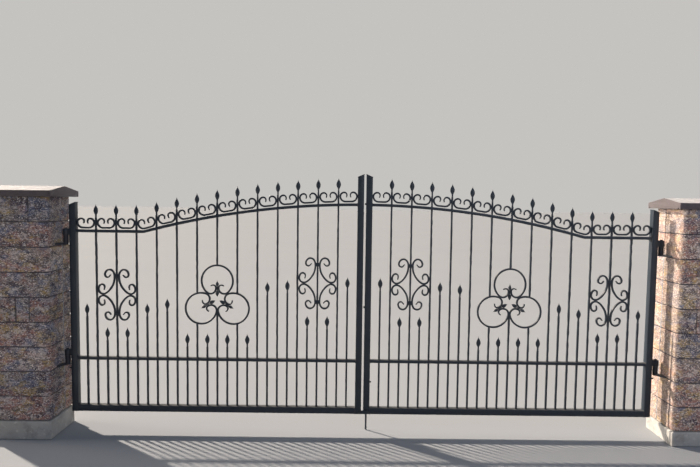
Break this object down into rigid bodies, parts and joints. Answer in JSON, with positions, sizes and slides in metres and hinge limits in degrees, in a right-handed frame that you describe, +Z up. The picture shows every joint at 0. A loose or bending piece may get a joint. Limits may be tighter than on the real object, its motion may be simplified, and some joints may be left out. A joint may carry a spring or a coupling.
{
  "type": "driveway gate",
  "caption": "Pair of arched wrought iron driveway leaves with spear-headed bars, scroll lyres and ringed trefoils, hung between two coped block piers and held by a drop bolt",
  "frame": {"origin": "middle of the left pier's underside, at ground level", "axes": "X along the gate from the left pier to the right one, Y from the street into the yard, Z up"},
  "size_m": [4.76, 0.35, 1.6736],
  "materials": {
    "iron": "satin",
    "blocks": "rough",
    "concrete": "rough",
    "coping": "rough"
  },
  "bodies": {
    "piers": {"left_plinth": "concrete", "left_pier": "blocks", "left_coping": "coping", "right_plinth": "concrete", "right_pier": "blocks", "right_coping": "coping", "left_pintles": "iron", "right_pintles": "iron"},
    "left_leaf": {"left_hinge_stile": "iron", "left_latch_stile": "iron", "left_stile_caps": "iron", "left_bottom_rail": "iron", "left_mid_rail": "iron", "left_top_rail": "iron", "left_long_bars": "iron", "left_short_bars": "iron", "left_top_scrolls": "iron", "left_hinge_lyre": "iron", "left_latch_lyre": "iron", "left_trefoil": "iron", "left_fleurs": "iron", "left_hinge_eyes": "iron", "left_lift_stop": "iron"},
    "right_leaf": {"right_hinge_stile": "iron", "right_latch_stile": "iron", "right_stile_caps": "iron", "right_bottom_rail": "iron", "right_mid_rail": "iron", "right_top_rail": "iron", "right_long_bars": "iron", "right_short_bars": "iron", "right_top_scrolls": "iron", "right_hinge_lyre": "iron", "right_latch_lyre": "iron", "right_trefoil": "iron", "right_fleurs": "iron", "right_hinge_eyes": "iron", "right_lift_stop": "iron", "stop_plate": "iron", "meeting_pads": "iron", "bolt_keepers": "iron"},
    "bolt": {"drop_bolt": "iron"}
  },
  "joints": [
    {"name": "left_hinge", "type": "hinge", "parent": "piers", "child": "left_leaf", "pos_m": [0.233, 0.025, 0.486], "axis": [0, 0, 1], "range_deg": [0, 90]},
    {"name": "right_hinge", "type": "hinge", "parent": "piers", "child": "right_leaf", "pos_m": [4.037, 0.025, 0.459], "axis": [0, 0, -1], "range_deg": [0, 90]},
    {"name": "bolt_lift", "type": "slide", "parent": "right_leaf", "child": "bolt", "axis": [0, 0, 1], "range_m": [0, 0.1]}
  ]
}
